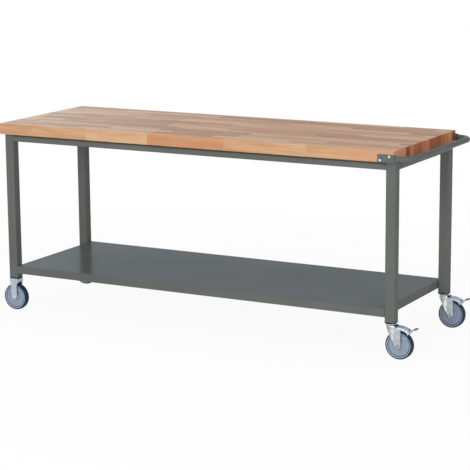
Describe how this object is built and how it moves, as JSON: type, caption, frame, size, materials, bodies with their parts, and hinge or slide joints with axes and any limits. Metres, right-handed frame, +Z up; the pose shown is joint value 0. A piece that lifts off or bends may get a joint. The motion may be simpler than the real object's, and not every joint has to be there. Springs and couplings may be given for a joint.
{
  "type": "mobile workbench",
  "caption": "Long workbench on wheels: thick beech worktop, square-tube steel frame, folded sheet-steel shelf, push handle at the end with braked swivel casters, fixed casters at the other.",
  "frame": {"origin": "on the floor, under the centre of the bench's overall box", "axes": "+X along the bench towards the push handle, +Y towards the rear, +Z up"},
  "size_m": [2.1254, 0.73, 0.9],
  "materials": {
    "beech": "oiled, laminated staves",
    "frame_paint": "satin powder coat",
    "zinc_steel": "bright zinc plate",
    "plug_plastic": "moulded",
    "tyre_rubber": "matt",
    "core_plastic": "moulded",
    "bush_plastic": "moulded",
    "pedal_plastic": "moulded"
  },
  "bodies": {
    "bench": {"caster_bolt_nuts": "zinc_steel", "fixed_caster_bolts": "zinc_steel", "front_left_axle": "zinc_steel", "front_left_axle_nut": "zinc_steel", "front_left_fork": "zinc_steel", "front_left_leg": "frame_paint", "front_left_plug": "plug_plastic", "front_rail": "frame_paint", "front_right_leg": "frame_paint", "front_right_plug": "plug_plastic", "front_right_swivel_balls": "zinc_steel", "front_right_upper_race": "zinc_steel", "handle_screws": "zinc_steel", "left_rail": "frame_paint", "lower_shelf": "frame_paint", "push_handle": "frame_paint", "rear_left_axle": "zinc_steel", "rear_left_axle_nut": "zinc_steel", "rear_left_fork": "zinc_steel", "rear_left_leg": "frame_paint", "rear_left_plug": "plug_plastic", "rear_rail": "frame_paint", "rear_right_leg": "frame_paint", "rear_right_plug": "plug_plastic", "rear_right_swivel_balls": "zinc_steel", "rear_right_upper_race": "zinc_steel", "right_rail": "frame_paint", "shelf_channel": "frame_paint", "shelf_screws": "zinc_steel", "swivel_caster_bolts": "zinc_steel", "worktop": "beech", "worktop_screws": "zinc_steel"},
    "front_left_wheel": {"front_left_tyre": "tyre_rubber", "front_left_wheel_core": "core_plastic", "front_left_wheel_bush": "bush_plastic"},
    "rear_left_wheel": {"rear_left_tyre": "tyre_rubber", "rear_left_wheel_core": "core_plastic", "rear_left_wheel_bush": "bush_plastic"},
    "front_right_wheel": {"front_right_tyre": "tyre_rubber", "front_right_wheel_core": "core_plastic", "front_right_wheel_bush": "bush_plastic"},
    "rear_right_wheel": {"rear_right_tyre": "tyre_rubber", "rear_right_wheel_core": "core_plastic", "rear_right_wheel_bush": "bush_plastic"},
    "front_right_caster": {"front_right_fork": "zinc_steel", "front_right_axle": "zinc_steel", "front_right_axle_nut": "zinc_steel", "front_right_brake_cover": "zinc_steel", "front_right_pedal_pin": "zinc_steel"},
    "front_right_brake": {"front_right_pedal": "zinc_steel", "front_right_pedal_pad": "pedal_plastic"},
    "rear_right_caster": {"rear_right_fork": "zinc_steel", "rear_right_axle": "zinc_steel", "rear_right_axle_nut": "zinc_steel", "rear_right_brake_cover": "zinc_steel", "rear_right_pedal_pin": "zinc_steel"},
    "rear_right_brake": {"rear_right_pedal": "zinc_steel", "rear_right_pedal_pad": "pedal_plastic"}
  },
  "joints": [
    {"name": "front_left_wheel_spin", "type": "hinge", "parent": "bench", "child": "front_left_wheel", "pos_m": [-1.00025, -0.3025, 0.0625], "axis": [0, 1, 0], "continuous": true},
    {"name": "rear_left_wheel_spin", "type": "hinge", "parent": "bench", "child": "rear_left_wheel", "pos_m": [-1.00025, 0.3025, 0.0625], "axis": [0, 1, 0], "continuous": true},
    {"name": "front_right_swivel", "type": "hinge", "parent": "bench", "child": "front_right_caster", "pos_m": [0.94275, -0.3025, 0.149], "axis": [0, 0, 1], "continuous": true},
    {"name": "front_right_wheel_spin", "type": "hinge", "parent": "front_right_caster", "child": "front_right_wheel", "pos_m": [0.98275, -0.3025, 0.0625], "axis": [0, 1, 0], "continuous": true},
    {"name": "front_right_pedal_press", "type": "hinge", "parent": "front_right_caster", "child": "front_right_brake", "pos_m": [1.02625, -0.3025, 0.12237], "axis": [0, 1, 0], "range_deg": [0, 20]},
    {"name": "rear_right_swivel", "type": "hinge", "parent": "bench", "child": "rear_right_caster", "pos_m": [0.94275, 0.3025, 0.149], "axis": [0, 0, 1], "continuous": true},
    {"name": "rear_right_wheel_spin", "type": "hinge", "parent": "rear_right_caster", "child": "rear_right_wheel", "pos_m": [0.98275, 0.3025, 0.0625], "axis": [0, 1, 0], "continuous": true},
    {"name": "rear_right_pedal_press", "type": "hinge", "parent": "rear_right_caster", "child": "rear_right_brake", "pos_m": [1.02625, 0.3025, 0.12237], "axis": [0, 1, 0], "range_deg": [0, 20]}
  ]
}
